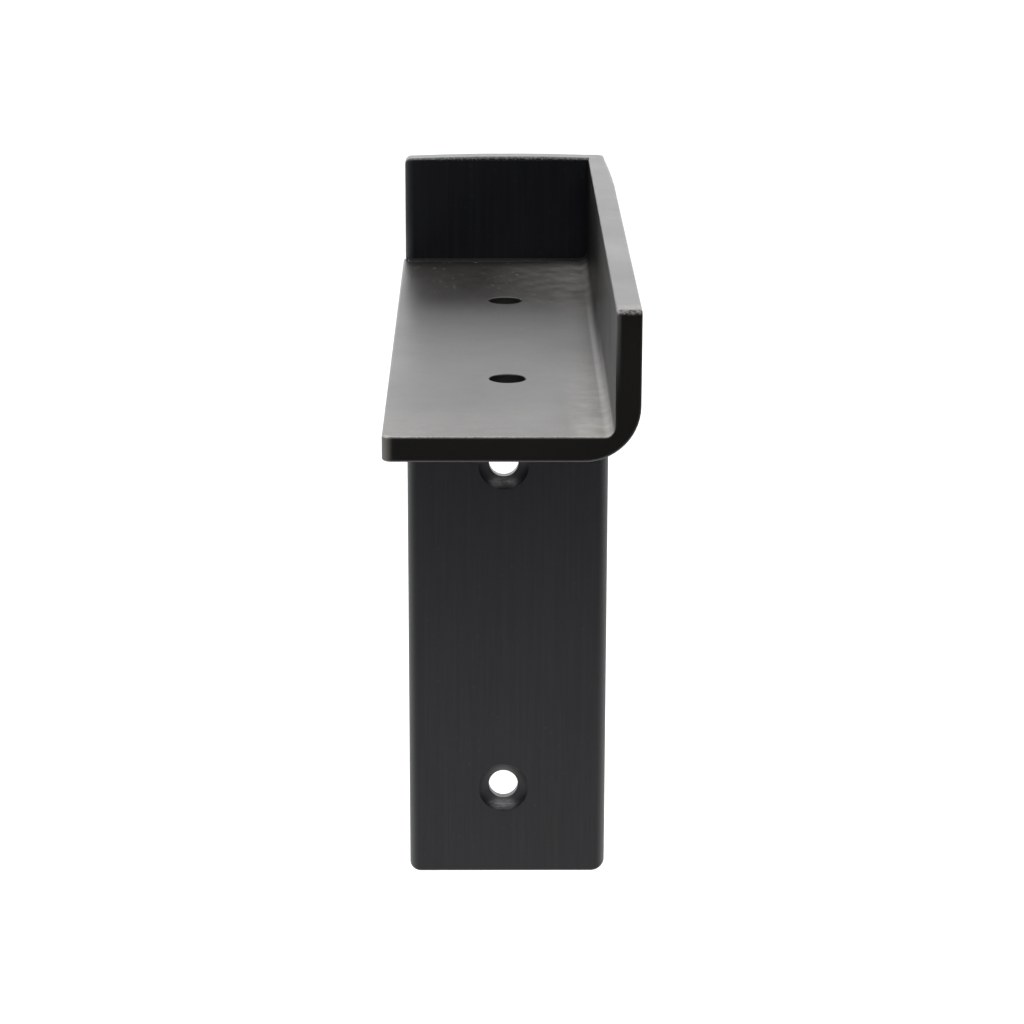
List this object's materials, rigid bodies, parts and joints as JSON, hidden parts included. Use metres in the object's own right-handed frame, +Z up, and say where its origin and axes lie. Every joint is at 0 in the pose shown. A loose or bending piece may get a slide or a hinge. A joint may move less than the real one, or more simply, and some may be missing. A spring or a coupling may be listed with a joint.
{
  "type": "shelf bracket",
  "caption": "Steel end bracket for a wall shelf: an upright wall plate with countersunk screw holes, and a drilled arm whose outer edge is folded up into an upstand beside the board.",
  "frame": {"origin": "on the wall face of the plate, on the plate's centreline, level with the seat that carries the board", "axes": "+X to the right for someone facing the wall, towards the upstand. +Y into the wall, so the wall is the plane Y = 0 and the arm reaches out along -Y. +Z up, so the seat is the plane Z = 0."},
  "size_m": [0.0509, 0.177, 0.1876],
  "materials": {
    "powder_coat": "satin black powder coat over mild steel"
  },
  "bodies": {
    "root": {"wall_plate": "powder_coat", "shelf_arm": "powder_coat", "seat_weld": "powder_coat", "underside_weld": "powder_coat"}
  },
  "joints": []
}
